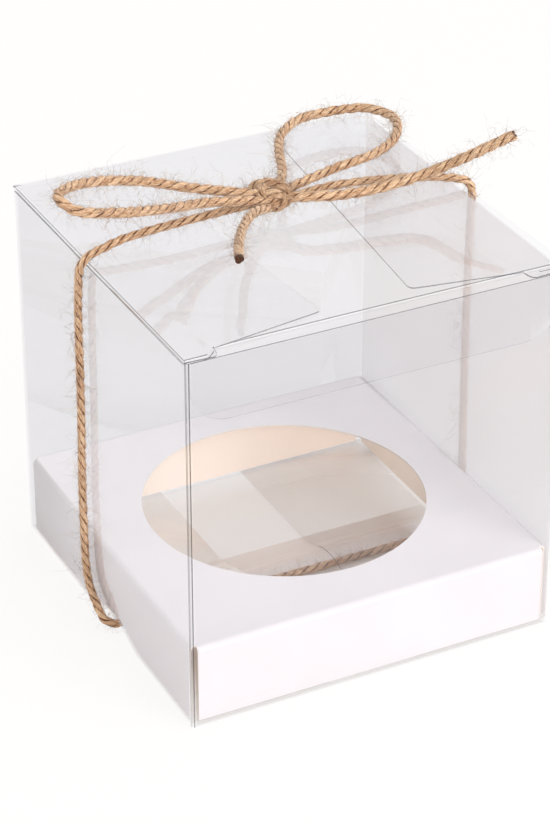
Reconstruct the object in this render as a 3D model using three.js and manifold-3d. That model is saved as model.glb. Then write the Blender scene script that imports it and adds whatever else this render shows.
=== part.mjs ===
// Clear tuck-end carton for one cupcake, with a card stand inside and jute twine tied round it.
// Millimetres, +Z up, front of the box towards -Y. The origin is the middle of the footprint, on the table.
import * as THREE from 'three';
import { mergeVertices } from 'three/addons/utils/BufferGeometryUtils.js';
import Module from 'manifold-3d';

const wasm = await Module();
wasm.setup();

// Carton: outside size and the film that it is folded from
const boxWidth = 89.5;
const boxDepth = 90.5;
const boxHeight = 90;
const filmThickness = 0.3;
const layerGap = 0.3; // air between sheets that lie on each other
const uprightFoldRadius = 1.1; // outside radius of the four upright folds
const flapFoldRadius = 0.5; // mid-sheet radius of the folds at the top and the bottom

// Lid and tuck flap: the flap isn't pushed fully home, so the lid's front stands proud
const tuckLength = 15.2; // below the top of the front wall
const tuckSideInset = 1.1;
const tuckCornerRadius = 9;
const slitLength = 6.6; // lock slits at both ends of the lid's front fold
const slitWidth = 0.3;
const lidRise = 1.4; // at the front fold, beyond the slit
const lidCrown = 0.2; // more in the middle of the fold
const lidCornerFlat = 5; // the lid's front left corner stays down over this width
const lidCornerRamp = 1.8; // and climbs over this one, at the fold
const lidRampSpread = 44; // and over this much more at the back
const flapEndInset = 1.1; // from a wall's outside to the end of a dust flap

// Dust flaps: reach inward from the side walls
const leftFlapLength = 36;
const rightFlapLength = 32.5;
const flapSlant = 5.6; // the front edge falls back by this much at the tip
const flapTaper = 7.6; // the back end is shorter than the front end
const flapHook = 3.4; // lock notch behind the shoulder
const flapShoulder = 6.6;
const flapTipRadius = 1.6;
const flapDroop = 2; // degrees

// Bottom closure: hinged on the front wall and tucked in behind the back wall
const bottomTuckLength = 15;
const bottomFlapLength = 34;
const panelInset = 0.1; // the bottom panel ends this far inside the upright folds
const footGap = 0.1; // the walls end this far above the table

// Glue tab inside the back wall, at the right corner
const glueTabWidth = 11;
const glueTabEnd = 4; // from the ends of the wall

// Card stand
const cardThickness = 0.4;
const cardFoldRadius = 1;
const standHeight = 20;
const standClearance = 0.35; // from the insides of the front and side walls
const standBackGap = 0.1; // more, from the bottom's tuck flap
const holeDiameter = 65.5;
const holeOffsetX = 1;
const holeOffsetY = 1;

// Twine
const twineDiameter = 2.4;
const twineSides = 8;
const twineStepsPerSpan = 1.4;
const knotRadius = 3.1;
const knotLength = 7;
const knotEndShare = 0.6; // the knot's ends, of its radius

// The bottom of the box arches over the twine that passes under it
const archMiddle = -3.4;
const archHalfWidth = 15;
const archHeight = 3.4;

const halfWidth = boxWidth / 2;
const halfDepth = boxDepth / 2;
const midFilm = filmThickness / 2;
const layer = filmThickness + layerGap; // from one sheet's middle to the next one's
const arcSteps = 3;
const tuckCornerSteps = 10;
const holeSteps = 36;
const straightCorner = 1.45; // radians from the corner to its bisector: past this a path hardly turns

// Helpers: boolean operations on closed geometries

function toSolid(geometry) {
  const bare = geometry.clone();
  for (const name of Object.keys(bare.attributes)) {
    if (name !== 'position') bare.deleteAttribute(name);
  }
  const merged = mergeVertices(bare, 1e-5);
  return new wasm.Manifold(new wasm.Mesh({
    numProp: 3,
    vertProperties: new Float32Array(merged.attributes.position.array),
    triVerts: new Uint32Array(merged.index.array),
  }));
}

function toGeometry(solid) {
  const mesh = solid.getMesh();
  const geometry = new THREE.BufferGeometry();
  geometry.setAttribute('position', new THREE.BufferAttribute(new Float32Array(mesh.vertProperties), 3));
  geometry.setIndex(new THREE.BufferAttribute(new Uint32Array(mesh.triVerts), 1));
  const flat = geometry.toNonIndexed();
  flat.computeVertexNormals();
  return flat;
}

const join = (solids) => solids.reduce((sum, solid) => sum.add(solid));
const cutAll = (solid, cutters) => cutters.reduce((rest, cutter) => rest.subtract(cutter), solid);

function block([x0, x1], [y0, y1], [z0, z1]) {
  const geometry = new THREE.BoxGeometry(x1 - x0, y1 - y0, z1 - z0);
  geometry.translate((x0 + x1) / 2, (y0 + y1) / 2, (z0 + z1) / 2);
  return toSolid(geometry);
}

// A shape in X and Y, raised from z0 to z1
function prism(shape, z0, z1, curveSegments = 12) {
  const geometry = new THREE.ExtrudeGeometry(shape, { depth: z1 - z0, bevelEnabled: false, curveSegments });
  geometry.translate(0, 0, z0);
  return toSolid(geometry);
}

// Helpers: folded sheets

// Rounds the inner corners of a path of [u, v] points
function foldedPath(corners, radius) {
  const points = [new THREE.Vector2(...corners[0])];
  for (let i = 1; i < corners.length - 1; i += 1) {
    const corner = new THREE.Vector2(...corners[i]);
    const before = new THREE.Vector2(...corners[i - 1]).sub(corner).normalize();
    const after = new THREE.Vector2(...corners[i + 1]).sub(corner).normalize();
    const half = Math.acos(THREE.MathUtils.clamp(before.dot(after), -1, 1)) / 2;
    if (half > straightCorner) {
      points.push(corner);
      continue;
    }
    const back = radius / Math.tan(half);
    const curve = new THREE.QuadraticBezierCurve(
      corner.clone().addScaledVector(before, back),
      corner,
      corner.clone().addScaledVector(after, back),
    );
    points.push(...curve.getPoints(arcSteps));
  }
  points.push(new THREE.Vector2(...corners.at(-1)));
  return points;
}

// The two faces of a sheet whose middle follows a path
function sheetFaces(path, thickness) {
  return path.map((point, i) => {
    const before = path[Math.max(i - 1, 0)];
    const after = path[Math.min(i + 1, path.length - 1)];
    const inward = point.clone().sub(before).normalize();
    const outward = after.clone().sub(point).normalize();
    const along = inward.add(outward).normalize();
    const reach = i > 0 && i < path.length - 1
      ? 1 / Math.max(along.dot(after.clone().sub(point).normalize()), 0.5)
      : 1;
    const normal = new THREE.Vector2(-along.y, along.x).multiplyScalar(reach * thickness / 2);
    return [point.clone().add(normal), point.clone().sub(normal)];
  });
}

// Joins the sections of a folded sheet, one for each station across its width, into a closed solid.
// place(u, v, station) gives the point of the model.
function sheetSolid(stations, pathAt, thickness, place) {
  const sections = stations.map((station) => sheetFaces(pathAt(station), thickness)
    .map((pair) => pair.map((point) => place(point.x, point.y, station))));
  const count = sections[0].length;
  const ring = 2 * count;
  const positions = sections.flatMap((section) => [
    ...section.map((pair) => pair[0]),
    ...section.map((pair) => pair[1]).reverse(),
  ]).flatMap((point) => [point.x, point.y, point.z]);
  const index = [];
  for (let s = 0; s < sections.length - 1; s += 1) {
    for (let i = 0; i < ring; i += 1) {
      const a = s * ring + i;
      const b = s * ring + (i + 1) % ring;
      index.push(a, b, b + ring, a, b + ring, a + ring);
    }
  }
  const last = (sections.length - 1) * ring;
  for (let i = 0; i < count - 1; i += 1) {
    const j = ring - 1 - i;
    index.push(i, j, j - 1, i, j - 1, i + 1);
    index.push(last + i, last + j - 1, last + j, last + i, last + i + 1, last + j - 1);
  }
  const geometry = new THREE.BufferGeometry();
  geometry.setAttribute('position', new THREE.Float32BufferAttribute(positions, 3));
  geometry.setIndex(index);
  return toSolid(facingOut(geometry));
}

function facingOut(geometry) {
  const { position } = geometry.attributes;
  const { array } = geometry.index;
  const [a, b, c] = [new THREE.Vector3(), new THREE.Vector3(), new THREE.Vector3()];
  let volume = 0;
  for (let i = 0; i < array.length; i += 3) {
    a.fromBufferAttribute(position, array[i]);
    b.fromBufferAttribute(position, array[i + 1]);
    c.fromBufferAttribute(position, array[i + 2]);
    volume += a.dot(b.cross(c));
  }
  if (volume < 0) {
    for (let i = 0; i < array.length; i += 3) [array[i + 1], array[i + 2]] = [array[i + 2], array[i + 1]];
  }
  return geometry;
}

function spread(from, to, steps) {
  return Array.from({ length: steps + 1 }, (_, i) => from + (to - from) * i / steps);
}

const smooth = (t) => THREE.MathUtils.smoothstep(t, 0, 1);

// How far the bottom is pressed up by the twine, at a depth y
function archAt(y) {
  const t = THREE.MathUtils.clamp((y - archMiddle) / archHalfWidth, -1, 1);
  return archHeight * (1 + Math.cos(Math.PI * t)) / 2;
}

const archStations = spread(archMiddle - archHalfWidth, archMiddle + archHalfWidth, 16);

// The carton

const wallMidX = halfWidth - midFilm;
const wallMidY = halfDepth - midFilm;
const tuckMidY = -(wallMidY - layer); // the lid's flap slides in behind the front wall
const bottomTuckMidY = wallMidY - midFilm - layer; // and the bottom's behind the back wall and its glue tab
const tuckHalfWidth = halfWidth - tuckSideInset;
const lidMidZ = boxHeight + layerGap + midFilm;
const flapMidZ = boxHeight - midFilm;
const bottomFlapMidZ = midFilm + layer;
const wallOverlap = 4; // a flap's sheet shares this much of its wall
const uprightWallEnd = uprightFoldRadius + 0.05;

function roundedOutline(width, depth, radius) {
  const x = width / 2;
  const y = depth / 2;
  const outline = new THREE.Shape();
  outline.moveTo(-x + radius, -y);
  outline.lineTo(x - radius, -y);
  outline.absarc(x - radius, -y + radius, radius, -Math.PI / 2, 0);
  outline.absarc(x - radius, y - radius, radius, 0, Math.PI / 2);
  outline.absarc(-x + radius, y - radius, radius, Math.PI / 2, Math.PI);
  outline.absarc(-x + radius, -y + radius, radius, Math.PI, 1.5 * Math.PI);
  return outline;
}

function wallTube() {
  const outside = roundedOutline(boxWidth, boxDepth, uprightFoldRadius);
  const inside = roundedOutline(
    boxWidth - 2 * filmThickness,
    boxDepth - 2 * filmThickness,
    uprightFoldRadius - filmThickness,
  );
  const core = prism(inside, -1, boxHeight + 1, arcSteps);
  const tube = prism(outside, footGap, boxHeight, arcSteps).subtract(core);
  const sideEnd = halfDepth - uprightWallEnd;
  const backEnd = halfWidth - uprightWallEnd;
  const foldStart = boxHeight - flapFoldRadius - midFilm;
  const sideTops = [-1, 1].map((side) => block(
    [side * halfWidth - 1, side * halfWidth + 1],
    [-sideEnd, sideEnd],
    [foldStart, boxHeight + 1],
  ));
  const backTop = block([-backEnd, backEnd], [halfDepth - 1, halfDepth + 1], [foldStart, boxHeight + 1]);
  const frontFoot = block(
    [-backEnd, backEnd],
    [-halfDepth - 1, -halfDepth + 1],
    [-1, flapFoldRadius + midFilm],
  );
  return cutAll(tube, [...sideTops, backTop, frontFoot, ...sideFeet()]);
}

// The side walls end where their bottom flaps fold in, along the arch over the twine
function sideFeet() {
  const end = halfDepth - uprightWallEnd;
  const clear = bottomFlapMidZ + flapFoldRadius;
  const foot = new THREE.Shape();
  foot.moveTo(-end, -2);
  foot.lineTo(end, -2);
  foot.lineTo(end, clear);
  for (const y of [...archStations].reverse()) foot.lineTo(y, clear + archAt(y));
  foot.lineTo(-end, clear);
  const geometry = new THREE.ExtrudeGeometry(foot, { depth: 2, bevelEnabled: false });
  geometry.rotateX(Math.PI / 2);
  geometry.rotateZ(Math.PI / 2);
  return [-1, 1].map((side) => toSolid(geometry.clone().translate(side * halfWidth - 1, 0, 0)));
}

// Lid: lifted at the front by the tuck flap, held down at the back fold and at the front left corner
function riseAt(x, share) {
  const ramp = smooth((x + halfWidth - lidCornerFlat) / (lidCornerRamp + lidRampSpread * (1 - share)));
  const crown = lidCrown * Math.sin(Math.PI * (x + halfWidth) / boxWidth);
  return ramp * (lidRise + crown) * share ** 2;
}

const lidStations = [
  ...spread(-wallMidX, -halfWidth + lidCornerFlat, 2),
  ...spread(-halfWidth + lidCornerFlat, -halfWidth + lidCornerFlat + lidCornerRamp, 6).slice(1),
  ...spread(-halfWidth + lidCornerFlat + lidCornerRamp, wallMidX, 10).slice(1),
];

function lidPath(x) {
  const depthSteps = spread(wallMidY, tuckMidY, 8);
  const corners = depthSteps.map((y, i) => [y, lidMidZ + riseAt(x, i / (depthSteps.length - 1))]);
  return foldedPath([
    [wallMidY, boxHeight - wallOverlap],
    ...corners,
    [tuckMidY, boxHeight - tuckLength],
  ], flapFoldRadius);
}

// What is cut away outside a tuck flap with rounded corners, at middleY. up is 1 where the flap points up.
function tuckTrim(middleY, rootZ, endZ) {
  const up = Math.sign(endZ - rootZ);
  const far = endZ + up;
  const side = new THREE.Shape();
  const beyond = halfWidth + 1;
  side.moveTo(beyond, rootZ);
  side.lineTo(tuckHalfWidth, rootZ);
  side.lineTo(tuckHalfWidth, endZ - up * tuckCornerRadius);
  side.absarc(
    tuckHalfWidth - tuckCornerRadius,
    endZ - up * tuckCornerRadius,
    tuckCornerRadius,
    0,
    up * Math.PI / 2,
    up < 0,
  );
  side.lineTo(tuckHalfWidth - tuckCornerRadius, far);
  side.lineTo(beyond, far);
  const geometry = new THREE.ExtrudeGeometry(side, {
    depth: 2 * layer,
    bevelEnabled: false,
    curveSegments: tuckCornerSteps,
  });
  geometry.rotateX(Math.PI / 2);
  geometry.translate(0, middleY + layer, 0);
  const mirrored = facingOut(mergeVertices(bareCopy(geometry).scale(-1, 1, 1), 1e-5));
  return [toSolid(geometry), toSolid(mirrored)];
}

function bareCopy(geometry) {
  const copy = geometry.clone();
  copy.deleteAttribute('normal');
  copy.deleteAttribute('uv');
  return copy;
}

// A thin cut along the front fold, under the lid's edge, that frees the lid's corner from the tuck flap
function lockSlit(from, to) {
  const stations = spread(from, to, 8);
  const slitPath = (x) => {
    const z = lidMidZ + riseAt(x, 1) - flapFoldRadius - slitWidth / 2;
    return [new THREE.Vector2(tuckMidY - layer, z), new THREE.Vector2(tuckMidY + layer, z)];
  };
  return sheetSolid(stations, slitPath, slitWidth, (y, z, x) => new THREE.Vector3(x, y, z));
}

function lidWithTuck() {
  const sheet = sheetSolid(lidStations, lidPath, filmThickness, (y, z, x) => new THREE.Vector3(x, y, z));
  const slitLow = boxHeight - midFilm;
  return cutAll(sheet, [
    ...tuckTrim(tuckMidY, slitLow, boxHeight - tuckLength),
    lockSlit(-halfWidth - 1, -halfWidth + slitLength),
    lockSlit(halfWidth - slitLength, halfWidth + 1),
  ]);
}

// Outline of a top dust flap of the left wall: lock shoulder, hook, slanted front edge, tapered tip
function dustFlapOutline(length) {
  const front = -halfDepth + flapEndInset;
  const tipX = -halfWidth + length;
  const shoulderX = -halfWidth + flapShoulder;
  const outline = new THREE.Shape();
  outline.moveTo(-halfWidth - 1, front);
  outline.lineTo(shoulderX, front);
  outline.quadraticCurveTo(shoulderX + flapHook / 2, front, shoulderX + flapHook / 2, front + flapHook);
  const tipY = front + flapHook + flapSlant;
  outline.lineTo(tipX - flapTipRadius, tipY - flapSlant * flapTipRadius / length);
  outline.quadraticCurveTo(tipX, tipY, tipX, tipY + flapTipRadius);
  outline.lineTo(tipX - flapTaper, -front);
  outline.lineTo(-halfWidth - 1, -front);
  return outline;
}

function dustFlap(length) {
  const drop = length * Math.sin(THREE.MathUtils.degToRad(flapDroop));
  const path = () => foldedPath([
    [-wallMidX, boxHeight - wallOverlap],
    [-wallMidX, flapMidZ],
    [-halfWidth + length + 1, flapMidZ - drop],
  ], flapFoldRadius);
  const end = halfDepth - uprightWallEnd;
  const sheet = sheetSolid([-end, end], path, filmThickness, (x, z, y) => new THREE.Vector3(x, y, z));
  return sheet.intersect(prism(dustFlapOutline(length), boxHeight - 2 * wallOverlap, boxHeight + 1, 5));
}

function bottomPanel() {
  const path = () => foldedPath([
    [-wallMidY, wallOverlap],
    [-wallMidY, midFilm],
    ...archStations.map((y) => [y, midFilm + archAt(y)]),
    [bottomTuckMidY, midFilm],
    [bottomTuckMidY, bottomTuckLength],
  ], flapFoldRadius);
  const place = (y, z, x) => new THREE.Vector3(x, y, z);
  const end = halfWidth - uprightWallEnd - panelInset;
  const sheet = sheetSolid([-end, end], path, filmThickness, place);
  return cutAll(sheet, tuckTrim(bottomTuckMidY, 2 * layer, bottomTuckLength));
}

function bottomFlap() {
  const end = halfDepth - uprightWallEnd;
  const stations = [-end, ...archStations, end];
  const path = (y) => foldedPath([
    [-wallMidX, bottomFlapMidZ + archAt(y) + wallOverlap],
    [-wallMidX, bottomFlapMidZ + archAt(y)],
    [-halfWidth + bottomFlapLength, bottomFlapMidZ + archAt(y)],
  ], flapFoldRadius);
  return sheetSolid(stations, path, filmThickness, (x, z, y) => new THREE.Vector3(x, y, z));
}

const glueTab = block(
  [halfWidth - filmThickness - glueTabWidth, halfWidth - midFilm],
  [halfDepth - 2 * filmThickness, halfDepth - midFilm],
  [glueTabEnd, boxHeight - glueTabEnd],
);

const turned = (solid) => solid.mirror([1, 0, 0]);

const filmCarton = join([
  wallTube(),
  lidWithTuck(),
  dustFlap(leftFlapLength),
  turned(dustFlap(rightFlapLength)),
  bottomPanel(),
  bottomFlap(),
  turned(bottomFlap()),
  glueTab,
]);

// The card stand: a cross-shaped blank, its four side panels folded down and standing on the bottom flaps

const standHalfWidth = halfWidth - filmThickness - standClearance;
const standFrontY = -halfDepth + filmThickness + standClearance;
const standBackY = bottomTuckMidY - midFilm - layerGap - standBackGap;
const standMidY = (standFrontY + standBackY) / 2;
const standHalfDepth = (standBackY - standFrontY) / 2;
const midCard = cardThickness / 2;
const standFootZ = bottomFlapMidZ + midFilm + layerGap;
const cardCorner = cardFoldRadius + cardThickness;

function cardBand(halfSpan, stations, place) {
  const span = halfSpan - midCard;
  const path = (station) => foldedPath([
    [-span, standFootZ + place.foot(station)],
    [-span, standHeight - midCard],
    [span, standHeight - midCard],
    [span, standFootZ + place.foot(station)],
  ], cardFoldRadius);
  return sheetSolid(stations, path, cardThickness, place.point);
}

const frontToBack = cardBand(
  standHalfDepth,
  [-standHalfWidth + cardCorner, standHalfWidth - cardCorner],
  { foot: () => 0, point: (y, z, x) => new THREE.Vector3(x, standMidY + y, z) },
);

const leftToRight = cardBand(
  standHalfWidth,
  [standFrontY + cardCorner, ...archStations, standBackY - cardCorner],
  { foot: archAt, point: (x, z, y) => new THREE.Vector3(x, y, z) },
);

const holeShape = new THREE.Shape().absarc(holeOffsetX, holeOffsetY, holeDiameter / 2, 0, 2 * Math.PI);
const cardInsert = frontToBack.add(leftToRight)
  .subtract(prism(holeShape, standHeight - 2, standHeight + 2, holeSteps));

// The twine: a tail, the knot, a loop, round the box, the other loop and the other tail

const knotPoint = [-0.5, 3.6, 95.6];

const shortTailPoints = [
  [-24.9, -29.3, 101.8], [-21.2, -21.5, 100.6], [-15.4, -11.5, 98.6], [-8.2, -2.4, 96.6], knotPoint,
];

const rightLoopPoints = [
  knotPoint, [6.2, 12.5, 96.6], [10.5, 22.5, 96.4], [15, 30.5, 96.2], [22.5, 36.4, 96.2], [31.5, 37.4, 96],
  [39.2, 35.2, 96.1], [42.3, 27.5, 96.4], [37.6, 17.8, 96.6], [29, 11.6, 96.8], [18, 8.9, 96.9], knotPoint,
];

const wrapPoints = [
  knotPoint, [-24.9, 3.6, 94.9], [-36.5, 4.4, 94], [-42.6, 5, 93.2], [-45.4, 5.5, 92.5],
  [-46.5, 6, 90.8], [-46.5, 6.7, 83], [-46.6, 7.2, 55], [-46.5, 6.6, 24], [-46.5, 3.4, 8.5],
  [-46.6, -1, 4.4], [-46.1, -2.5, 2.5], [-44.3, -3.3, 1.6], [-41, -3.4, 1.5], [0, -3.4, 1.5],
  [41, -3.4, 1.5], [44.3, -3.3, 1.6], [46.1, -3, 2.5], [46.6, -2.7, 4.4], [46.5, -2.2, 18],
  [46.5, -1.3, 55], [46.4, -1.2, 84], [46.5, -1.3, 91.5], [45.4, -1.1, 93], [42.6, -0.4, 93.7],
  [33, 1, 94.6], [14, 2.8, 96], knotPoint,
];

const leftLoopPoints = [
  knotPoint, [-18.9, 5.8, 101.3], [-31.1, 4.4, 106.2], [-42.6, 0.6, 110.4], [-51.4, -4.4, 113.2],
  [-56.4, -10, 114.3], [-54.6, -14, 112.9], [-45, -12, 109.2], [-30.5, -5.3, 103.9],
  [-16.3, 1.6, 99.2], knotPoint,
];

const longTailPoints = [
  knotPoint, [4.2, -1.8, 97.4], [12, -4.7, 97.5], [21.5, -5.6, 97.6], [31.2, -6.6, 99], [38.6, -11.6, 103.6],
  [46.5, -18.5, 110.2],
];

// A smooth route whose steps are short where its points lie close together
class Route extends THREE.CatmullRomCurve3 {
  constructor(points) {
    super(points.map((point) => new THREE.Vector3(...point)), false, 'centripetal');
  }

  getPointAt(share, target) {
    return this.getPoint(share, target);
  }

  getTangentAt(share, target) {
    return this.getTangent(share, target);
  }
}

function cord(points) {
  const corners = spread(0, 2 * Math.PI, twineSides).slice(1);
  const section = new THREE.Shape(corners.map((angle) => new THREE.Vector2(
    0.5 * twineDiameter * Math.cos(angle),
    0.5 * twineDiameter * Math.sin(angle),
  )));
  return toSolid(new THREE.ExtrudeGeometry(section, {
    steps: Math.round((points.length - 1) * twineStepsPerSpan),
    bevelEnabled: false,
    extrudePath: new Route(points),
  }));
}

function knot() {
  const half = knotLength / 2;
  const profile = new THREE.Path();
  const endRadius = knotEndShare * knotRadius;
  profile.moveTo(0, -half);
  profile.lineTo(endRadius, -half);
  profile.quadraticCurveTo(knotRadius, -half, knotRadius, 0);
  profile.quadraticCurveTo(knotRadius, half, endRadius, half);
  profile.lineTo(0, half);
  const barrel = new THREE.LatheGeometry(profile.getPoints(3), 12);
  barrel.rotateZ(Math.PI / 2);
  barrel.translate(...knotPoint);
  return toSolid(barrel);
}

const twine = join([
  cord(shortTailPoints),
  cord(rightLoopPoints),
  cord(wrapPoints),
  cord(leftLoopPoints),
  cord(longTailPoints),
  knot(),
]);

// Meshes

function piece(name, solid, colour, options) {
  const material = new THREE.MeshStandardMaterial({ color: colour, metalness: 0, ...options });
  const mesh = new THREE.Mesh(toGeometry(solid), material);
  mesh.name = name;
  return mesh;
}

const cupcakeBox = new THREE.Group();
cupcakeBox.add(
  piece('film_carton', filmCarton, '#e9ecf2', { roughness: 0.08, transparent: true, opacity: 0.25 }),
  piece('card_insert', cardInsert, '#f6f3f2', { roughness: 0.6 }),
  piece('twine', twine, '#c99a68', { roughness: 0.95 }),
);

export default cupcakeBox;
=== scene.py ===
import math

import bmesh
import bpy
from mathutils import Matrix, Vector
from mathutils.bvhtree import BVHTree


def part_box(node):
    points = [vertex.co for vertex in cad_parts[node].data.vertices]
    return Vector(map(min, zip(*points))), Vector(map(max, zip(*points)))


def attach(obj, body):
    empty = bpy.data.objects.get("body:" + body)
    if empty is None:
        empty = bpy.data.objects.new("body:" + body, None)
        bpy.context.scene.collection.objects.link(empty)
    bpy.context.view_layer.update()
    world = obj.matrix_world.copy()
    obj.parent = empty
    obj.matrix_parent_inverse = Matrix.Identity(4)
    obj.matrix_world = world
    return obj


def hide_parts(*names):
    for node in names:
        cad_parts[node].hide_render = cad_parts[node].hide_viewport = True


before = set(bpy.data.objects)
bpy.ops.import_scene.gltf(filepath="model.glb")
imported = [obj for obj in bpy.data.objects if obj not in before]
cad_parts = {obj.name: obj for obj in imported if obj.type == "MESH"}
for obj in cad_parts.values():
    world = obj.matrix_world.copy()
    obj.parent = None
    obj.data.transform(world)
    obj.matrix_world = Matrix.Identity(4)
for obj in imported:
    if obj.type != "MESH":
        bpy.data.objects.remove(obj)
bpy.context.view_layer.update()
scene = bpy.context.scene
mm = 0.001
print("frame loaded:", ", ".join(sorted(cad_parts)))


# Camera, at the photograph's viewing angle: a long lens from the front left and above
camera = {
    "place": (-0.25855, -0.50770, 0.37887),
    "target": (-0.00292, -0.00207, 0.0453),
    "lens": 127.9,
    "sensor": 36,
}


def addCamera():
    data = bpy.data.cameras.new("camera")
    data.lens = camera["lens"]
    data.sensor_width = camera["sensor"]
    holder = bpy.data.objects.new("camera", data)
    sight = Vector(camera["target"]) - Vector(camera["place"])
    holder.location = camera["place"]
    holder.rotation_euler = sight.to_track_quat("-Z", "Y").to_euler()
    scene.collection.objects.link(holder)
    scene.camera = holder


addCamera()
print("camera placed")


# Node helpers
def newMaterial(name):
    material = bpy.data.materials.new(name)
    material.use_nodes = True
    material.node_tree.nodes.clear()
    return material, material.node_tree


def put(tree, kind, inputs=None, **settings):
    made = tree.nodes.new(kind)
    for key, value in settings.items():
        setattr(made, key, value)
    for key, value in (inputs or {}).items():
        if isinstance(value, bpy.types.NodeSocket):
            tree.links.new(value, made.inputs[key])
        else:
            made.inputs[key].default_value = value
    return made


def calc(tree, operation, *values):
    return put(tree, "ShaderNodeMath", dict(enumerate(values)), operation=operation).outputs[0]


def vectorCalc(tree, operation, *values):
    made = put(tree, "ShaderNodeVectorMath", dict(enumerate(values)), operation=operation)
    return made.outputs["Value" if operation in ("LENGTH", "DOT_PRODUCT") else "Vector"]


def scaled(tree, vector, factor):
    made = put(tree, "ShaderNodeVectorMath", {0: vector, "Scale": factor}, operation="SCALE")
    return made.outputs["Vector"]


def colourRamp(tree, factor, stops):
    ramp = put(tree, "ShaderNodeValToRGB", {"Fac": factor})
    points = ramp.color_ramp.elements
    while len(points) < len(stops):
        points.new(0.5)
    for point, (position, colour) in zip(points, stops):
        point.position = position
        point.color = (*colour, 1)
    return ramp.outputs["Color"]


def fromSrgb(red, green, blue):
    return tuple((c / 12.92 if c <= 0.04045 else ((c + 0.055) / 1.055) ** 2.4)
                 for c in (red / 255, green / 255, blue / 255))


def addPiece(name, mesh):
    piece = bpy.data.objects.new(name, mesh)
    scene.collection.objects.link(piece)
    return piece


# Twine: three-ply jute, one length from the short tail's end, round the box, to the long tail's end
twine = {
    "diameter": 2.4 * mm,
    "plyRadius": 0.80 * mm,
    "plyOffset": 0.42 * mm,
    "pitch": 8.8 * mm,
    "step": 0.55 * mm,
    "plySides": 9,
    "pointsPerSpan": 8,
    "unevenness": 0.26,
    "swellsPerMetre": 420,
    "swellShift": 7.3,  # from one ply's swells to the next one's
    "light": (234, 204, 170),
    "middle": (179, 137, 102),
    "dark": (80, 46, 28),
    "toneStops": (0.50, 0.70, 0.89),  # for dark, middle and light
    "fibresAcross": 2.2,
    "fibresAlong": 340.0,
    "fibreShift": 9.0,  # from one ply's fibres to the next one's
    "fibreShare": 1.20,
    "blotchShare": 0.30,
    # painted shade: the groove keys below darken the jute where the plies meet
    "paintedGrooveShadeShare": 0.55,
    "grooveStart": -0.55,
    "grooveFull": -0.1,
    "grooveBreaks": (0.36, 0.62),
    "fibreRelief": 0.12 * mm,
    "cutEnd": (70, 38, 20),
    "cutEndDepth": 0.9 * mm,
}

knotPoint = (-0.5, 3.6, 95.6)

# Each run keeps its own place in the knot, so that the runs lie side by side there
twineRuns = [
    {
        "name": "short tail",
        "points": [(-24.9, -29.3, 101.8), (-21.2, -21.5, 100.6), (-15.4, -11.5, 98.6),
                   (-8.2, -2.4, 96.6), knotPoint],
        "knotStart": (0, 0, 0),
        "knotEnd": (-1.6, -1.2, -1.2),
        "thickness": 0.88,
    },
    {
        "name": "right loop",
        "points": [knotPoint, (6.2, 12.5, 96.6), (10.5, 22.5, 96.4), (15, 30.5, 96.2),
                   (22.5, 36.4, 96.2), (31.5, 37.4, 96), (39.2, 35.2, 96.1), (42.3, 27.5, 96.4),
                   (37.6, 17.8, 96.6), (29, 11.6, 96.8), (18, 8.9, 96.9), knotPoint],
        "knotStart": (1.6, 1.4, 1.2),
        "knotEnd": (1.2, 1.2, 0.4),
        "thickness": 0.92,
    },
    {
        "name": "round the box",
        "points": [knotPoint, (-24.9, 3.6, 94.9), (-36, 3.6, 94.1), (-41.6, 2.9, 93.3),
                   (-44.7, 2.7, 92.4), (-46.3, 3.4, 90.2), (-46.4, 5.2, 83), (-46.4, 6.1, 55),
                   (-46.4, 7.2, 24), (-46.4, 5.6, 8.5), (-46.4, 0.6, 4.2), (-46, -2, 2.4),
                   (-44.3, -3.3, 1.6), (-41, -3.4, 1.5), (0, -3.4, 1.5), (41, -3.4, 1.5),
                   (44.3, -3.3, 1.6), (46, -3, 2.4), (46.4, -2.7, 4.2), (46.4, -2.2, 18),
                   (46.3, -1.6, 55), (46.3, -1.9, 84), (46.2, -2.2, 90.2), (44.9, -2, 92.4),
                   (41.6, -0.9, 93.4), (33, 1, 94.6), (14, 2.8, 96), knotPoint],
        "knotStart": (-1.8, 1.0, -0.6),
        "knotEnd": (1.8, 0.2, -0.7),
        "thickness": 0.80,
    },
    {
        "name": "left loop",
        "points": [knotPoint, (-18.9, 5.8, 101.3), (-31.1, 4.4, 106.2), (-42.6, 0.6, 110.4),
                   (-51.4, -4.4, 113.2), (-56.4, -10, 114.3), (-54.6, -14, 112.9), (-45, -12, 109.2),
                   (-30.5, -5.3, 103.9), (-16.3, 1.6, 99.2), knotPoint],
        "knotStart": (-1.8, 0.9, 1.0),
        "knotEnd": (-1.8, -0.9, 0.3),
        "thickness": 0.95,
    },
    {
        "name": "long tail",
        "points": [knotPoint, (4.2, -1.8, 97.4), (12, -4.7, 97.5), (21.5, -5.6, 97.6), (31.2, -6.6, 99),
                   (38.6, -11.6, 103.6), (46.5, -18.5, 110.2)],
        "knotStart": (1.2, -0.8, 0.4),
        "knotEnd": (0, 0, 0),
        "thickness": 1.0,
    },
]


# A smooth line through points, closer together where the points are
def smoothLine(points, perSpan):
    ends = [2 * points[0] - points[1], 2 * points[-1] - points[-2]]
    known = [ends[0], *points, ends[1]]
    line = []
    for before, start, end, after in zip(known, known[1:], known[2:], known[3:]):
        a = (start - before).length ** 0.5
        b = (end - start).length ** 0.5
        c = (after - end).length ** 0.5
        leave = ((start - before) / a - (end - before) / (a + b) + (end - start) / b) * b
        arrive = ((end - start) / b - (after - start) / (b + c) + (after - end) / c) * b
        for k in range(perSpan):
            t = k / perSpan
            line.append((2 * t ** 3 - 3 * t ** 2 + 1) * start + (t ** 3 - 2 * t ** 2 + t) * leave
                        + (3 * t ** 2 - 2 * t ** 3) * end + (t ** 3 - t ** 2) * arrive)
    line.append(points[-1])
    return line


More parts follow.
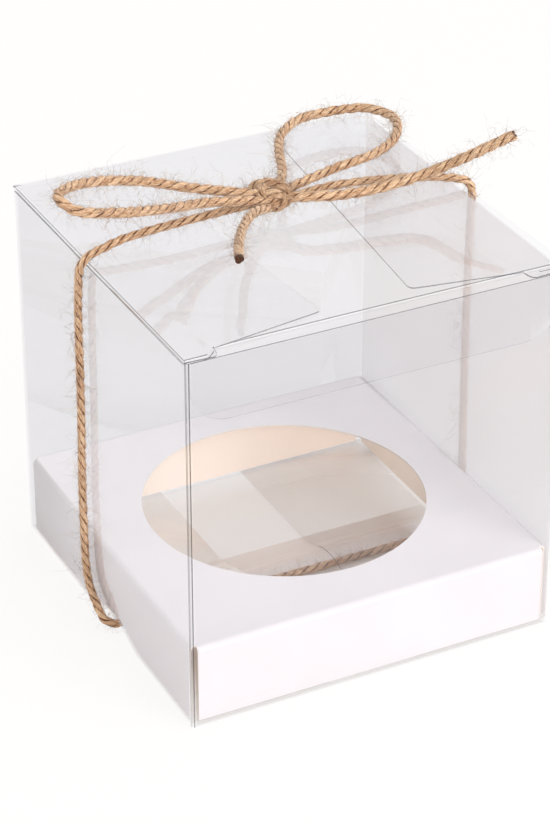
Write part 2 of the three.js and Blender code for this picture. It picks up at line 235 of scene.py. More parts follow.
# The line's points, and how thick the twine is at each: it is thinner where it is pulled tight
def twineLine():
    line, widths = [], []
    for run in twineRuns:
        points = [Vector(point) for point in run["points"]]
        points[0] += Vector(run["knotStart"])
        points[-1] += Vector(run["knotEnd"])
        laid = smoothLine(points, twine["pointsPerSpan"])
        line += [point * mm for point in laid]
        widths += [run["thickness"]] * len(laid)
    return line, widths


def lineLength(line):
    return sum((b - a).length for a, b in zip(line, line[1:]))


def curveFrom(name, line, widths):
    data = bpy.data.curves.new(name, "CURVE")
    data.dimensions = "3D"
    spline = data.splines.new("POLY")
    spline.points.add(len(line) - 1)
    for point, place, width in zip(spline.points, line, widths):
        point.co = (*place, 1)
        point.radius = width
    return addPiece(name, data)


# Node tree that lays three twisted plies along a curve
def plyTree():
    tree = bpy.data.node_groups.new("twistedPlies", "GeometryNodeTree")
    face = tree.interface
    face.new_socket("Line", in_out="INPUT", socket_type="NodeSocketGeometry")
    for name in ("Ply radius", "Ply offset", "Pitch", "Step", "Unevenness"):
        face.new_socket(name, in_out="INPUT", socket_type="NodeSocketFloat")
    face.new_socket("Ply sides", in_out="INPUT", socket_type="NodeSocketInt")
    face.new_socket("Material", in_out="INPUT", socket_type="NodeSocketMaterial")
    face.new_socket("Plies", in_out="OUTPUT", socket_type="NodeSocketGeometry")
    given = put(tree, "NodeGroupInput").outputs
    line = put(tree, "GeometryNodeResampleCurve",
               {"Curve": given["Line"], "Length": given["Step"]}, mode="LENGTH")
    along = put(tree, "GeometryNodeSplineParameter").outputs["Length"]
    marked = put(tree, "GeometryNodeStoreNamedAttribute",
                 {"Geometry": line.outputs[0], "Name": "alongTwine", "Value": along}, data_type="FLOAT")
    normal = put(tree, "GeometryNodeInputNormal").outputs[0]
    tangent = put(tree, "GeometryNodeInputTangent").outputs[0]
    side = vectorCalc(tree, "CROSS_PRODUCT", tangent, normal)
    turn = calc(tree, "DIVIDE", calc(tree, "MULTIPLY", along, -2 * math.pi), given["Pitch"])
    width = put(tree, "GeometryNodeInputRadius").outputs[0]
    spread = calc(tree, "MULTIPLY", width, given["Ply offset"])
    plies = put(tree, "GeometryNodeJoinGeometry")
    for ply in range(3):
        angle = calc(tree, "ADD", turn, 2 * math.pi * ply / 3)
        reach = vectorCalc(tree, "ADD", scaled(tree, normal, calc(tree, "COSINE", angle)),
                           scaled(tree, side, calc(tree, "SINE", angle)))
        facingOut = put(tree, "GeometryNodeStoreNamedAttribute",
                        {"Geometry": marked.outputs[0], "Name": "outward", "Value": reach},
                        data_type="FLOAT_VECTOR")
        moved = put(tree, "GeometryNodeSetPosition",
                    {"Geometry": facingOut.outputs[0], "Offset": scaled(tree, reach, spread)})
        spot = put(tree, "ShaderNodeCombineXYZ",
                   {"X": calc(tree, "MULTIPLY", along, twine["swellsPerMetre"]),
                    "Y": twine["swellShift"] * ply})
        swell = put(tree, "ShaderNodeTexNoise", {"Vector": spot.outputs[0], "Scale": 1.0, "Detail": 2.0})
        thick = calc(tree, "MULTIPLY_ADD", calc(tree, "SUBTRACT", swell.outputs["Fac"], 0.5),
                     calc(tree, "MULTIPLY", given["Unevenness"], 2.0), 1.0)
        numbered = put(tree, "GeometryNodeStoreNamedAttribute",
                       {"Geometry": moved.outputs[0], "Name": "ply", "Value": float(ply)},
                       data_type="FLOAT")
        ring = put(tree, "GeometryNodeCurvePrimitiveCircle",
                   {"Resolution": given["Ply sides"], "Radius": given["Ply radius"]})
        around = put(tree, "GeometryNodeStoreNamedAttribute",
                     {"Geometry": ring.outputs[0], "Name": "aroundPly",
                      "Value": scaled(tree, put(tree, "GeometryNodeInputPosition").outputs[0], 1 / mm)},
                     data_type="FLOAT_VECTOR")
        skin = put(tree, "GeometryNodeCurveToMesh",
                   {"Curve": numbered.outputs[0], "Profile Curve": around.outputs[0], "Fill Caps": True,
                    "Scale": calc(tree, "MULTIPLY", thick, width)})
        tree.links.new(skin.outputs[0], plies.inputs[0])
    smooth = put(tree, "GeometryNodeSetShadeSmooth", {"Geometry": plies.outputs[0]})
    # how far each face of a ply turns towards the twine's middle, kept for the painted shade in the
    # grooves
    outward = put(tree, "GeometryNodeInputNamedAttribute", {"Name": "outward"}, data_type="FLOAT_VECTOR")
    skinNormal = put(tree, "GeometryNodeInputNormal").outputs[0]
    facing = vectorCalc(tree, "DOT_PRODUCT", outward.outputs[0], skinNormal)
    inwards = calc(tree, "MULTIPLY", facing, -1.0)
    grooved = put(tree, "GeometryNodeStoreNamedAttribute",
                  {"Geometry": smooth.outputs[0], "Name": "paintedGrooveShade", "Value": inwards}, data_type="FLOAT")
    whole = put(tree, "GeometryNodeRealizeInstances", {"Geometry": grooved.outputs[0]})
    dressed = put(tree, "GeometryNodeSetMaterial",
                  {"Geometry": whole.outputs[0], "Material": given["Material"]})
    result = put(tree, "NodeGroupOutput")
    tree.links.new(dressed.outputs[0], result.inputs[0])
    return tree


def applyTree(holder, tree, name, values):
    modifier = holder.modifiers.new("making", "NODES")
    modifier.node_group = tree
    sockets = {item.name: item.identifier for item in tree.interface.items_tree if item.in_out == "INPUT"}
    for key, value in values.items():
        modifier[sockets[key]] = value
    holder.update_tag()
    depsgraph = bpy.context.evaluated_depsgraph_get()
    mesh = bpy.data.meshes.new_from_object(holder.evaluated_get(depsgraph), depsgraph=depsgraph)
    mesh.name = name
    holder.modifiers.clear()
    bpy.data.objects.remove(holder)
    return addPiece(name, mesh)


# 1 at the side of a ply that faces the middle of the twine, 0 at its outer side: the mask for the painted
# shade in the grooves between the plies
def paintedGrooveShadeMask(tree):
    facing = put(tree, "ShaderNodeAttribute", attribute_name="paintedGrooveShade").outputs["Fac"]
    return put(tree, "ShaderNodeMapRange", {
        "Value": facing, "From Min": twine["grooveStart"], "From Max": twine["grooveFull"]}).outputs[0]


def juteMaterial():
    material, tree = newMaterial("jute")
    along = put(tree, "ShaderNodeAttribute", attribute_name="alongTwine").outputs["Fac"]
    around = put(tree, "ShaderNodeAttribute", attribute_name="aroundPly").outputs["Vector"]
    ply = put(tree, "ShaderNodeAttribute", attribute_name="ply").outputs["Fac"]
    cross = put(tree, "ShaderNodeSeparateXYZ", {0: around})
    spot = put(tree, "ShaderNodeCombineXYZ", {
        "X": calc(tree, "ADD", calc(tree, "MULTIPLY", cross.outputs["X"], twine["fibresAcross"]),
                  calc(tree, "MULTIPLY", ply, twine["fibreShift"])),
        "Y": calc(tree, "MULTIPLY", cross.outputs["Y"], twine["fibresAcross"]),
        "Z": calc(tree, "MULTIPLY", along, twine["fibresAlong"]),
    }).outputs[0]
    fibres = put(tree, "ShaderNodeTexNoise",
                 {"Vector": spot, "Scale": 2.6, "Detail": 6.0, "Roughness": 0.75})
    blotches = put(tree, "ShaderNodeTexNoise", {"Vector": spot, "Scale": 0.3, "Detail": 3.0})
    broken = put(tree, "ShaderNodeTexNoise", {"Vector": spot, "Scale": 0.9, "Detail": 2.0})
    low, high = twine["grooveBreaks"]
    depth = put(tree, "ShaderNodeMapRange",
                {"Value": broken.outputs["Fac"], "From Min": low, "From Max": high})
    # painted shade: the tone drops where a ply faces into the groove between the plies
    paintedGrooveShade = calc(tree, "MULTIPLY", paintedGrooveShadeMask(tree),
                  calc(tree, "MULTIPLY", depth.outputs[0], twine["paintedGrooveShadeShare"]))
    fibreTone = calc(tree, "MULTIPLY", fibres.outputs["Fac"], twine["fibreShare"])
    blotchTone = calc(tree, "MULTIPLY", blotches.outputs["Fac"], twine["blotchShare"])
    tone = calc(tree, "SUBTRACT", calc(tree, "ADD", fibreTone, blotchTone), paintedGrooveShade)
    shades = [fromSrgb(*twine[name]) for name in ("dark", "middle", "light")]
    colour = colourRamp(tree, tone, list(zip(twine["toneStops"], shades)))
    nearEnd = calc(tree, "LESS_THAN", along, twine["cutEndDepth"])
    mix = put(tree, "ShaderNodeMixRGB", {0: nearEnd, 1: colour, 2: (*fromSrgb(*twine["cutEnd"]), 1)})
    bump = put(tree, "ShaderNodeBump",
               {"Height": fibres.outputs["Fac"], "Strength": 0.9, "Distance": twine["fibreRelief"]})
    shade = put(tree, "ShaderNodeBsdfPrincipled",
                {"Base Color": mix.outputs[0], "Roughness": 0.85, "Normal": bump.outputs[0],
                 "Specular IOR Level": 0.25, "Sheen Weight": 0.25, "Sheen Roughness": 0.5})
    put(tree, "ShaderNodeOutputMaterial", {"Surface": shade.outputs[0]})
    return material


jute = juteMaterial()
twistedPlies = plyTree()


def twisted(name, line, widths):
    return applyTree(curveFrom(name + "Line", line, widths), twistedPlies, name, {
        "Ply radius": twine["plyRadius"],
        "Ply offset": twine["plyOffset"],
        "Pitch": twine["pitch"],
        "Step": twine["step"],
        "Unevenness": twine["unevenness"],
        "Ply sides": twine["plySides"],
        "Material": jute,
    })


cordLine, cordWidths = twineLine()
juteTwine = twisted("juteTwine", cordLine, cordWidths)
print(f"twine laid: {lineLength(cordLine):.3f} m, {len(juteTwine.data.polygons)} faces")


# Knot: the turns that hold the loops, over the top from the back, round the right and back underneath
knot = {
    "thickness": 0.98,
    "pointsPerSpan": 6,
    "turns": [
        [(-5.2, 7.6, 95), (-3.6, 8.2, 96.4), (-2, 7.8, 97.6), (-0.4, 6.2, 98.2), (1.2, 4.4, 98.3),
         (2, 2.4, 97.6), (1.6, 1, 96.2), (0.2, 1.2, 94.9), (-1.6, 2.8, 94.2), (-3, 5.2, 93.9)],
        [(-2.2, 3, 94), (-3.3, 2.6, 95.4), (-3.5, 3.6, 97), (-2.6, 5.2, 97.6), (-1.2, 7, 97),
         (-0.4, 8, 95.4)],
        [(-5, 4.6, 96.4), (-3, 4.4, 97.2), (-0.8, 3.2, 97.2), (0.8, 1.9, 96.6), (2.6, 1, 95.8)],
    ],
}


def knotTurn(number, turn):
    line = [point * mm for point in smoothLine([Vector(point) for point in turn], knot["pointsPerSpan"])]
    return twisted(f"knotTurn{number}", line, [knot["thickness"]] * len(line))


knotPieces = [knotTurn(i + 1, turn) for i, turn in enumerate(knot["turns"])]
print("knot tied")


# Fuzz: loose fibres that stand off the twine
fuzz = {
    "lowest": 0.1 * mm,  # no fibre goes below this, so none is under the table
    "shortest": 0.4,  # of the full length, before shortBias
    "shortBias": 3.0,
    "driftScale": 480.0,
    "driftSpread": 90.0,  # how far apart two fibres read the drift
    "curlGain": 2.5,
    "taper": 0.7,
    "light": (212, 190, 166),
    "dark": (128, 102, 84),
    "patches": (0.38, 0.62),  # where dark ends and light starts
    "layers": [
        {"name": "twineFuzz", "perSquareMillimetre": 0.42, "length": 6.0 * mm, "thickness": 0.030 * mm,
         "curl": 4.5 * mm, "tilt": 1.5, "points": 7, "seed": 11},
        {"name": "twineNap", "perSquareMillimetre": 0.92, "length": 2.2 * mm, "thickness": 0.028 * mm,
         "curl": 0.8 * mm, "tilt": 1.55, "points": 4, "seed": 29},
    ],
}


def fuzzTree():
    tree = bpy.data.node_groups.new("looseFibres", "GeometryNodeTree")
    face = tree.interface
    face.new_socket("Surface", in_out="INPUT", socket_type="NodeSocketGeometry")
    for name in ("Density", "Length", "Thickness", "Curl", "Tilt", "Lowest"):
        face.new_socket(name, in_out="INPUT", socket_type="NodeSocketFloat")
    for name in ("Points", "Seed"):
        face.new_socket(name, in_out="INPUT", socket_type="NodeSocketInt")
    face.new_socket("Material", in_out="INPUT", socket_type="NodeSocketMaterial")
    face.new_socket("Fibres", in_out="OUTPUT", socket_type="NodeSocketGeometry")
    given = put(tree, "NodeGroupInput").outputs
    roots = put(tree, "GeometryNodeDistributePointsOnFaces",
                {"Mesh": given["Surface"], "Density": given["Density"], "Seed": given["Seed"]})
    fibre = put(tree, "GeometryNodeCurvePrimitiveLine", {"Start": (0, 0, 0), "End": (0, 0, 1)})
    bent = put(tree, "GeometryNodeResampleCurve", {"Curve": fibre.outputs[0], "Count": given["Points"]})
    most = put(tree, "ShaderNodeCombineXYZ",
               {"X": given["Tilt"], "Y": given["Tilt"], "Z": 2 * math.pi}).outputs[0]
    least = vectorCalc(tree, "MULTIPLY", most, (-1, -1, 0))
    tilt = put(tree, "FunctionNodeRandomValue", {0: least, 1: most, "Seed": given["Seed"]},
               data_type="FLOAT_VECTOR")
    turned = put(tree, "FunctionNodeRotateRotation",
                 {"Rotation": roots.outputs["Rotation"], "Rotate By": tilt.outputs[0]},
                 rotation_space="LOCAL")
    longness = put(tree, "FunctionNodeRandomValue",
                   {2: fuzz["shortest"], 3: 1.0, "Seed": given["Seed"]}, data_type="FLOAT")
    sizes = calc(tree, "MULTIPLY", calc(tree, "POWER", longness.outputs[1], fuzz["shortBias"]),
                 given["Length"])
    placed = put(tree, "GeometryNodeInstanceOnPoints",
                 {"Points": roots.outputs["Points"], "Instance": bent.outputs[0],
                  "Rotation": turned.outputs[0], "Scale": sizes})
    spread = fuzz["driftSpread"]
    own = put(tree, "FunctionNodeRandomValue",
              {0: (-spread,) * 3, 1: (spread,) * 3, "Seed": given["Seed"]}, data_type="FLOAT_VECTOR")
    marked = put(tree, "GeometryNodeStoreNamedAttribute",
                 {"Geometry": placed.outputs[0], "Name": "ownDrift", "Value": own.outputs[0]},
                 data_type="FLOAT_VECTOR", domain="INSTANCE")
    loose = put(tree, "GeometryNodeRealizeInstances", {"Geometry": marked.outputs[0]})
    ownDrift = put(tree, "GeometryNodeInputNamedAttribute", {"Name": "ownDrift"}, data_type="FLOAT_VECTOR")
    place = scaled(tree, put(tree, "GeometryNodeInputPosition").outputs[0], fuzz["driftScale"])
    drift = put(tree, "ShaderNodeTexNoise",
                {"Vector": vectorCalc(tree, "ADD", place, ownDrift.outputs[0]), "Scale": 1.0,
                 "Detail": 1.0})
    centred = vectorCalc(tree, "SUBTRACT", drift.outputs["Color"], (0.5, 0.5, 0.5))
    share = put(tree, "GeometryNodeSplineParameter").outputs["Factor"]
    pull = calc(tree, "MULTIPLY", share, calc(tree, "MULTIPLY", given["Curl"], fuzz["curlGain"]))
    curled = put(tree, "GeometryNodeSetPosition",
                 {"Geometry": loose.outputs[0], "Offset": scaled(tree, centred, pull)})
    curledPlace = put(tree, "GeometryNodeInputPosition").outputs[0]
    spot = put(tree, "ShaderNodeSeparateXYZ", {0: curledPlace}).outputs
    above = put(tree, "ShaderNodeCombineXYZ",
                {"X": spot["X"], "Y": spot["Y"], "Z": calc(tree, "MAXIMUM", spot["Z"], given["Lowest"])})
    lifted = put(tree, "GeometryNodeSetPosition",
                 {"Geometry": curled.outputs[0], "Position": above.outputs[0]})
    ring = put(tree, "GeometryNodeCurvePrimitiveCircle", {"Resolution": 3, "Radius": given["Thickness"]})
    taper = calc(tree, "SUBTRACT", 1.0, calc(tree, "MULTIPLY", share, fuzz["taper"]))
    skin = put(tree, "GeometryNodeCurveToMesh",
               {"Curve": lifted.outputs[0], "Profile Curve": ring.outputs[0], "Fill Caps": True,
                "Scale": taper})
    whole = put(tree, "GeometryNodeRealizeInstances", {"Geometry": skin.outputs[0]})
    dressed = put(tree, "GeometryNodeSetMaterial",
                  {"Geometry": whole.outputs[0], "Material": given["Material"]})
    result = put(tree, "NodeGroupOutput")
    tree.links.new(dressed.outputs[0], result.inputs[0])
    return tree


def fuzzMaterial():
    material, tree = newMaterial("looseJute")
    place = put(tree, "ShaderNodeTexCoord").outputs["Object"]
    patches = put(tree, "ShaderNodeTexNoise", {"Vector": place, "Scale": 420.0, "Detail": 1.0})
    shades = [fromSrgb(*fuzz[name]) for name in ("dark", "light")]
    colour = colourRamp(tree, patches.outputs["Fac"], list(zip(fuzz["patches"], shades)))
    shade = put(tree, "ShaderNodeBsdfPrincipled", {"Base Color": colour, "Roughness": 0.7})
    put(tree, "ShaderNodeOutputMaterial", {"Surface": shade.outputs[0]})
    return material


looseJute = fuzzMaterial()
looseFibres = fuzzTree()


def addFuzz(layer):
    surface = bmesh.new()
    for piece in (juteTwine, *knotPieces):
        surface.from_mesh(piece.data)
    mesh = bpy.data.meshes.new("fuzzSurface")
    surface.to_mesh(mesh)
    surface.free()
    return applyTree(addPiece("fuzzSurface", mesh), looseFibres, layer["name"], {
        "Density": layer["perSquareMillimetre"] / mm ** 2,
        "Length": layer["length"],
        "Thickness": layer["thickness"],
        "Curl": layer["curl"],
        "Tilt": layer["tilt"],
        "Lowest": fuzz["lowest"],
        "Points": layer["points"],
        "Seed": layer["seed"],
        "Material": looseJute,
    })


fuzzPieces = [addFuzz(layer) for layer in fuzz["layers"]]
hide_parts("twine")
for piece in (juteTwine, *knotPieces, *fuzzPieces):
    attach(piece, "root")
print("fuzz:", ", ".join(f"{piece.name} {len(piece.data.polygons)} faces" for piece in fuzzPieces))


# Folded sheets, film and card alike
sheet = {
    "mergeWithin": 1e-6,
    "sharpFrom": math.radians(40),
    "cutEdgeDepth": 2,  # sheet thicknesses under a face from which it is a cut edge
    "probeStart": 1e-6,  # under the face
    "probeSpread": 0.4,  # of the way from a face's middle to its corners
    "noBottom": 1.0,  # depth where a probe meets nothing
}


# A copy of the CAD piece with its loose triangles joined
def mergedCopy(node, name):
    shape = bmesh.new()
    shape.from_mesh(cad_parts[node].data)
    bmesh.ops.remove_doubles(shape, verts=shape.verts, dist=sheet["mergeWithin"])
    mesh = bpy.data.meshes.new(name)
    shape.to_mesh(mesh)
    shape.free()
    mesh.materials.clear()
    return mesh


# How deep the sheet is under each face, from a few places on it: a cut edge has far more behind it
def depthUnder(mesh):
    tree = BVHTree.FromPolygons([v.co for v in mesh.vertices], [p.vertices for p in mesh.polygons])
    depths = []
    for polygon in mesh.polygons:
        corners = [mesh.vertices[i].co for i in polygon.vertices]
        inward = -polygon.normal
        places = [polygon.center.lerp(corner, sheet["probeSpread"]) for corner in corners]
        found = [sheet["noBottom"]]
        for place in (polygon.center, *places):
            distance = tree.ray_cast(place + inward * sheet["probeStart"], inward)[3]
            if distance is not None:
                found.append(distance)
        depths.append(min(found))
    return depths


# Film carton
film = {
    "thickness": 0.3 * mm,
    "wallTop": 90 * mm,
    "foldReach": 1.3 * mm,
    "edgeReach": 2.0 * mm,
    "tipZone": 24 * mm,
    "footZone": 3 * mm,
    "wallSkin": 1.2,  # sheet thicknesses from the outside within which a face is on a wall
    "lidFlapRise": 0.2 * mm,  # above the walls' top, where the lid starts
    "faceOn": 0.9,  # a normal's share from which a face looks along an axis
    "tipFaceOn": 0.7,
    "lidFoldFlat": 0.99,  # flatter than this is no fold any more
    "foldFlat": 0.985,
    "paintedHighlightFrom": 0.5,
    "frontFoldMiddle": 0.84,
    "sideFoldMiddle": 0.82,
    "paintedHazeTone": (0.93, 0.93, 0.94),
    "waves": 9.0,
    "waveDepth": 0.10 * mm,
    "finishes": {
        # wallFilm is tinted darker than the lid's and the inner sheets' film: partly the film's own tint,
        # partly painted shade on the walls
        "wallFilm": {"tint": (0.934, 0.932, 0.940), "gloss": 1.72, "roughness": 0.02, "paintedHaze": 0.0},
        "flapFilm": {"tint": (0.980, 0.979, 0.984), "gloss": 1.62, "roughness": 0.02, "paintedHaze": 0.0},
        "innerFilm": {"tint": (0.985, 0.984, 0.988), "gloss": 1.30, "roughness": 0.04, "paintedHaze": 0.0},
        # painted sheen: the right wall's inner face is milky and more mirror-like than the film, for the
        # light it reflects
        "rightWallPaintedSheen": {"tint": (0.965, 0.962, 0.970), "gloss": 2.3, "roughness": 0.04, "paintedHaze": 0.62,
                      "paintedHazeTone": (1.0, 0.99, 0.99)},
        # painted bounce: the bottom sheets get a beige haze for the cream card's light reflected in them
        "baseFilm": {"tint": (0.988, 0.983, 0.978), "gloss": 1.15, "roughness": 0.45, "paintedHaze": 0.16,
                     "paintedHazeTone": (0.86, 0.80, 0.76)},
        # painted edge lines: cut edges are tinted dark, lighter at the tuck flap and nearly clear at the
        # far edges and the foot, for how the film's edges bend the light
        "cutEdge": {"tint": (0.30, 0.30, 0.31), "gloss": 1.5, "roughness": 0.2, "paintedHaze": 0.05},
        "tuckEdge": {"tint": (0.78, 0.78, 0.79), "gloss": 1.5, "roughness": 0.2, "paintedHaze": 0.10},
        "softEdge": {"tint": (0.97, 0.97, 0.97), "gloss": 1.0, "roughness": 0.2, "paintedHaze": 0.0},
        # painted dark lines on the fold facets, for the dark that the curved film bends and reflects there
        "paintedDarkFoldLine": {"tint": (0.42, 0.42, 0.43), "gloss": 1.6, "roughness": 0.1, "paintedHaze": 0.0},
        "paintedDarkUprightFold": {"tint": (0.50, 0.50, 0.51), "gloss": 1.6, "roughness": 0.1, "paintedHaze": 0.0},
        # painted highlight: a white haze on the middle facet of the lid's front crease, for the light the
        # rounded crease catches
        "paintedFoldHighlight": {"tint": (0.98, 0.98, 0.98), "gloss": 1.9, "roughness": 0.15, "paintedHaze": 0.16},
    },
}


def filmMaterial(name, finish):
    material, tree = newMaterial(name)
    place = put(tree, "ShaderNodeTexCoord").outputs["Object"]
    waves = put(tree, "ShaderNodeTexNoise", {"Vector": place, "Scale": film["waves"], "Detail": 1.0})
    bump = put(tree, "ShaderNodeBump",
               {"Height": waves.outputs["Fac"], "Strength": 1.0, "Distance": film["waveDepth"]})
    behind = put(tree, "ShaderNodeNewGeometry").outputs["Backfacing"]
    mirror = put(tree, "ShaderNodeFresnel", {"IOR": finish["gloss"], "Normal": bump.outputs[0]})
    share = calc(tree, "MULTIPLY", mirror.outputs[0], calc(tree, "SUBTRACT", 1.0, behind))
    through = put(tree, "ShaderNodeBsdfTransparent", {"Color": (*finish["tint"], 1)})
    gloss = put(tree, "ShaderNodeBsdfAnisotropic",
                {"Color": (1, 1, 1, 1), "Roughness": finish["roughness"], "Normal": bump.outputs[0]})
    clear = put(tree, "ShaderNodeMixShader", {0: share, 1: through.outputs[0], 2: gloss.outputs[0]})
    # the painted haze: a diffuse layer that paints light onto the film, for the fold highlight, the edge
    # lines, the right wall's sheen and the base's warm bounce
    if finish["paintedHaze"]:
        tone = finish.get("paintedHazeTone", film["paintedHazeTone"])
        paintedHaze = put(tree, "ShaderNodeBsdfDiffuse", {"Color": (*tone, 1)})
        clear = put(tree, "ShaderNodeMixShader",
                    {0: finish["paintedHaze"], 1: clear.outputs[0], 2: paintedHaze.outputs[0]})
    put(tree, "ShaderNodeOutputMaterial", {"Surface": clear.outputs[0]})
    return material


# Which finish a face of the carton has, from where it is and how it is turned; the fold, edge, right wall
# and base finishes carry painted light
def filmFinish(polygon, depth, reach):
    x, y, z = polygon.center
    normal = polygon.normal
    steep = max(abs(n) for n in normal)
    atSide = abs(x) > reach.x - film["foldReach"]
    atEnd = abs(y) > reach.y - film["foldReach"]
    atTop = z > film["wallTop"] - film["foldReach"]
    skin = film["thickness"] * film["wallSkin"]
    onWall = abs(x) > reach.x - skin or abs(y) > reach.y - skin
    onTab = y > reach.y - film["edgeReach"] and normal.y < -film["faceOn"]
    # a cut edge gets one of the painted edge lines, by where it is
    if depth > sheet["cutEdgeDepth"] * film["thickness"]:
        if atEnd and not onWall and not atTop and y < 0 and z > film["footZone"]:
            return "tuckEdge"
        farEdge = y > reach.y - film["edgeReach"] or x > reach.x - film["edgeReach"]
        leftFlapTip = -film["tipZone"] < x < 0 and abs(normal.x) > film["tipFaceOn"]
        return "softEdge" if farEdge or leftFlapTip or z < film["footZone"] else "cutEdge"
    frontFold = atSide and atEnd and not atTop and x < 0 and y < 0
    lidFold = atTop and y < -reach.y + film["foldReach"]
    sideFold = atTop and x < -reach.x + film["foldReach"]
    # fold facets: painted dark lines on the outer facets, and along the lid's front crease a painted
    # highlight below the dark line
    if lidFold and steep < film["lidFoldFlat"] and abs(normal.x) < film["paintedHighlightFrom"]:
        if normal.z > film["faceOn"]:
            return "paintedDarkFoldLine"
        return "paintedFoldHighlight" if normal.z > film["paintedHighlightFrom"] else "wallFilm"
    if frontFold and steep < film["foldFlat"]:
        return "wallFilm" if steep < film["frontFoldMiddle"] else "paintedDarkUprightFold"
    if sideFold and steep < film["foldFlat"]:
        return "wallFilm" if steep < film["sideFoldMiddle"] else "paintedDarkFoldLine"
    if atSide and atEnd:
        return "wallFilm" if x > 0 and y > 0 else "innerFilm"
    if z < film["footZone"] and abs(normal.z) > film["faceOn"]:
        return "baseFilm"
    if x > 0 and onWall and normal.x < -film["faceOn"]:
        return "rightWallPaintedSheen"
    if onWall or onTab:
        return "wallFilm"
    return "flapFilm" if z > film["wallTop"] + film["lidFlapRise"] else "innerFilm"


def addCarton():
    mesh = mergedCopy("film_carton", "clearCarton")
    names = list(film["finishes"])
    for name, finish in film["finishes"].items():
        mesh.materials.append(filmMaterial(name, finish))
    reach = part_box("film_carton")[1]
    for polygon, depth in zip(mesh.polygons, depthUnder(mesh)):
        polygon.material_index = names.index(filmFinish(polygon, depth, reach))
    mesh.shade_smooth()
    mesh.set_sharp_from_angle(angle=sheet["sharpFrom"])
    carton = addPiece("clearCarton", mesh)
    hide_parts("film_carton")
    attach(carton, "root")


addCarton()
print("carton dressed")


# Card stand: white outside, cream inside with a painted glow, off-white at the cut edges
card = {
    "thickness": 0.4 * mm,
    "centre": Vector((0, 0, 10 * mm)),
    "grain": 900.0,
    "grainDepth": 0.02 * mm,
    "clouds": 60.0,
    "cloudTone": 0.965,
    "cloudEdges": (0.3, 0.7),
    "finishes": [  # outside, inside and cut edge; the glow is painted light: an emission that stands in for the light that comes through the card
        {"name": "whiteCard", "colour": (244, 240, 241), "roughness": 0.45, "paintedGlow": 0.0},
        {"name": "creamCard", "colour": (253, 240, 228), "roughness": 0.7, "paintedGlow": 0.17},
        {"name": "cutCard", "colour": (247, 240, 233), "roughness": 0.8, "paintedGlow": 0.0},
    ],
}


def cardMaterial(finish):
    material, tree = newMaterial(finish["name"])
    place = put(tree, "ShaderNodeTexCoord").outputs["Object"]
    grain = put(tree, "ShaderNodeTexNoise", {"Vector": place, "Scale": card["grain"], "Detail": 3.0})
    clouds = put(tree, "ShaderNodeTexNoise", {"Vector": place, "Scale": card["clouds"], "Detail": 2.0})
    base = fromSrgb(*finish["colour"])
    dim = tuple(channel * card["cloudTone"] for channel in base)
    tint = colourRamp(tree, clouds.outputs["Fac"], list(zip(card["cloudEdges"], (dim, base))))
    bump = put(tree, "ShaderNodeBump",
               {"Height": grain.outputs["Fac"], "Strength": 0.4, "Distance": card["grainDepth"]})
    # the emission is painted light, a glow for the light that comes through the card
    shade = put(tree, "ShaderNodeBsdfPrincipled",
                {"Base Color": tint, "Roughness": finish["roughness"], "Normal": bump.outputs[0],
                 "Specular IOR Level": 0.4, "Emission Color": (*base, 1),
                 "Emission Strength": finish["paintedGlow"]})
    put(tree, "ShaderNodeOutputMaterial", {"Surface": shade.outputs[0]})
    return material


def addInsert():
    mesh = mergedCopy("card_insert", "cardStand")
    outside, inside, cutEdge = range(len(card["finishes"]))
    for finish in card["finishes"]:
        mesh.materials.append(cardMaterial(finish))
    for polygon, depth in zip(mesh.polygons, depthUnder(mesh)):
        outward = polygon.normal.dot(polygon.center - card["centre"])
        if depth > sheet["cutEdgeDepth"] * card["thickness"]:
            polygon.material_index = cutEdge
        else:
            polygon.material_index = inside if outward < 0 else outside
    mesh.shade_smooth()
    mesh.set_sharp_from_angle(angle=sheet["sharpFrom"])
    stand = addPiece("cardStand", mesh)
    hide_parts("card_insert")
    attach(stand, "root")


addInsert()
print("card stand dressed")


# Floor, world and lamps
studio = {
    "floorSize": 4.0,
    # the floor's matt colour, beige as a painted warm bounce from the cream card; it shows most under the
    # box
    "floorToneWithPaintedBounce": (0.86, 0.80, 0.76, 1),
    "floorWhiteShare": 0.85,
    "underBox": (0.034, 0.0425),  # the white starts between these, so the floor under the box stays matt
    "filmLayers": 64,  # see-through faces that one ray may pass
    "worldStrength": 0.80,
    "lampAim": (0, 0, 0.04),
    "lamps": [
        {"name": "frontLamp", "place": (0.9, -1.5, 0.9), "size": 1.2, "power": 20.5},
        {"name": "fillLamp", "place": (-0.56, -1.11, 0.78), "size": 0.35, "power": 6},
        {"name": "topLamp", "place": (0.5, -0.2, 1.9), "size": 1.0, "power": 6},
    ],
}


# 1 for what the camera sees straight, mirrored or through a sheet, 0 for light on the object
def seenRays(tree):
    rays = put(tree, "ShaderNodeLightPath").outputs
    return calc(tree, "MINIMUM", 1.0, calc(tree, "ADD", rays["Is Camera Ray"],
                calc(tree, "ADD", rays["Is Glossy Ray"], rays["Is Transmission Ray"])))


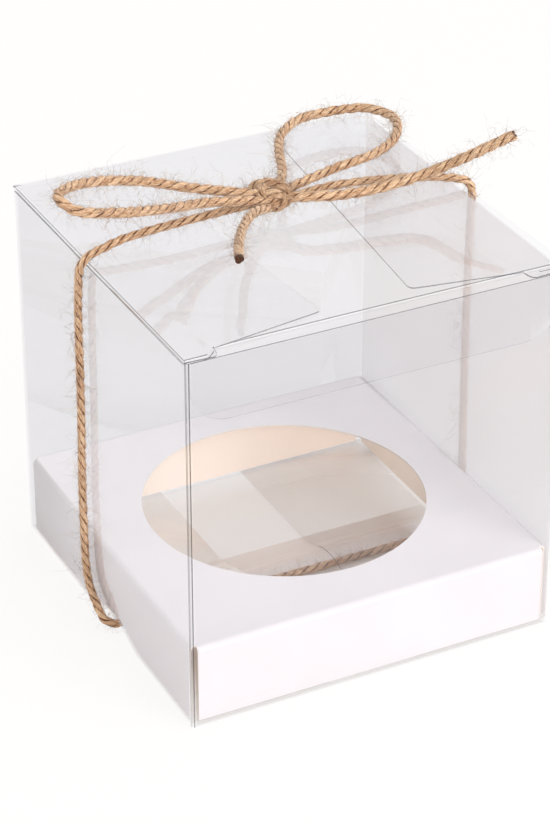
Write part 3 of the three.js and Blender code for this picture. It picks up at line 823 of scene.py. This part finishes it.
def addFloor():
    half = studio["floorSize"] / 2
    mesh = bpy.data.meshes.new("floor")
    corners = [(-half, -half, 0), (half, -half, 0), (half, half, 0), (-half, half, 0)]
    mesh.from_pydata(corners, [], [(0, 1, 2, 3)])
    material, tree = newMaterial("paleFloor")
    # the matt floor carries the painted warm bounce
    matt = put(tree, "ShaderNodeBsdfDiffuse", {"Color": studio["floorToneWithPaintedBounce"]})
    white = put(tree, "ShaderNodeEmission", {"Color": (1, 1, 1, 1), "Strength": 1.0})
    place = put(tree, "ShaderNodeTexCoord").outputs["Object"]
    spot = put(tree, "ShaderNodeSeparateXYZ", {0: place}).outputs
    away = calc(tree, "MAXIMUM", calc(tree, "ABSOLUTE", spot["X"]), calc(tree, "ABSOLUTE", spot["Y"]))
    near, far = studio["underBox"]
    outside = put(tree, "ShaderNodeMapRange", {"Value": away, "From Min": near, "From Max": far})
    share = calc(tree, "MULTIPLY", calc(tree, "MULTIPLY", seenRays(tree), outside.outputs[0]),
                 studio["floorWhiteShare"])
    mixed = put(tree, "ShaderNodeMixShader", {0: share, 1: matt.outputs[0], 2: white.outputs[0]})
    put(tree, "ShaderNodeOutputMaterial", {"Surface": mixed.outputs[0]})
    mesh.materials.append(material)
    addPiece("floor", mesh)


def addWorld():
    world = bpy.data.worlds.new("studio")
    world.use_nodes = True
    tree = world.node_tree
    tree.nodes.clear()
    soft = put(tree, "ShaderNodeBackground", {"Color": (1, 1, 1, 1), "Strength": studio["worldStrength"]})
    white = put(tree, "ShaderNodeBackground", {"Color": (1, 1, 1, 1), "Strength": 1.0})
    mixed = put(tree, "ShaderNodeMixShader", {0: seenRays(tree), 1: soft.outputs[0], 2: white.outputs[0]})
    put(tree, "ShaderNodeOutputWorld", {"Surface": mixed.outputs[0]})
    scene.world = world


def addLamps():
    for lamp in studio["lamps"]:
        data = bpy.data.lights.new(lamp["name"], "AREA")
        data.shape = "DISK"
        data.size = lamp["size"]
        data.energy = lamp["power"]
        holder = bpy.data.objects.new(lamp["name"], data)
        holder.location = lamp["place"]
        aim = Vector(studio["lampAim"]) - Vector(lamp["place"])
        holder.rotation_euler = aim.to_track_quat("-Z", "Y").to_euler()
        holder.visible_glossy = False  # no lamp shows as a spot in the film
        scene.collection.objects.link(holder)


addFloor()
addWorld()
addLamps()
scene.view_settings.view_transform = "Standard"
scene.cycles.transparent_max_bounces = studio["filmLayers"]
print("studio lit")
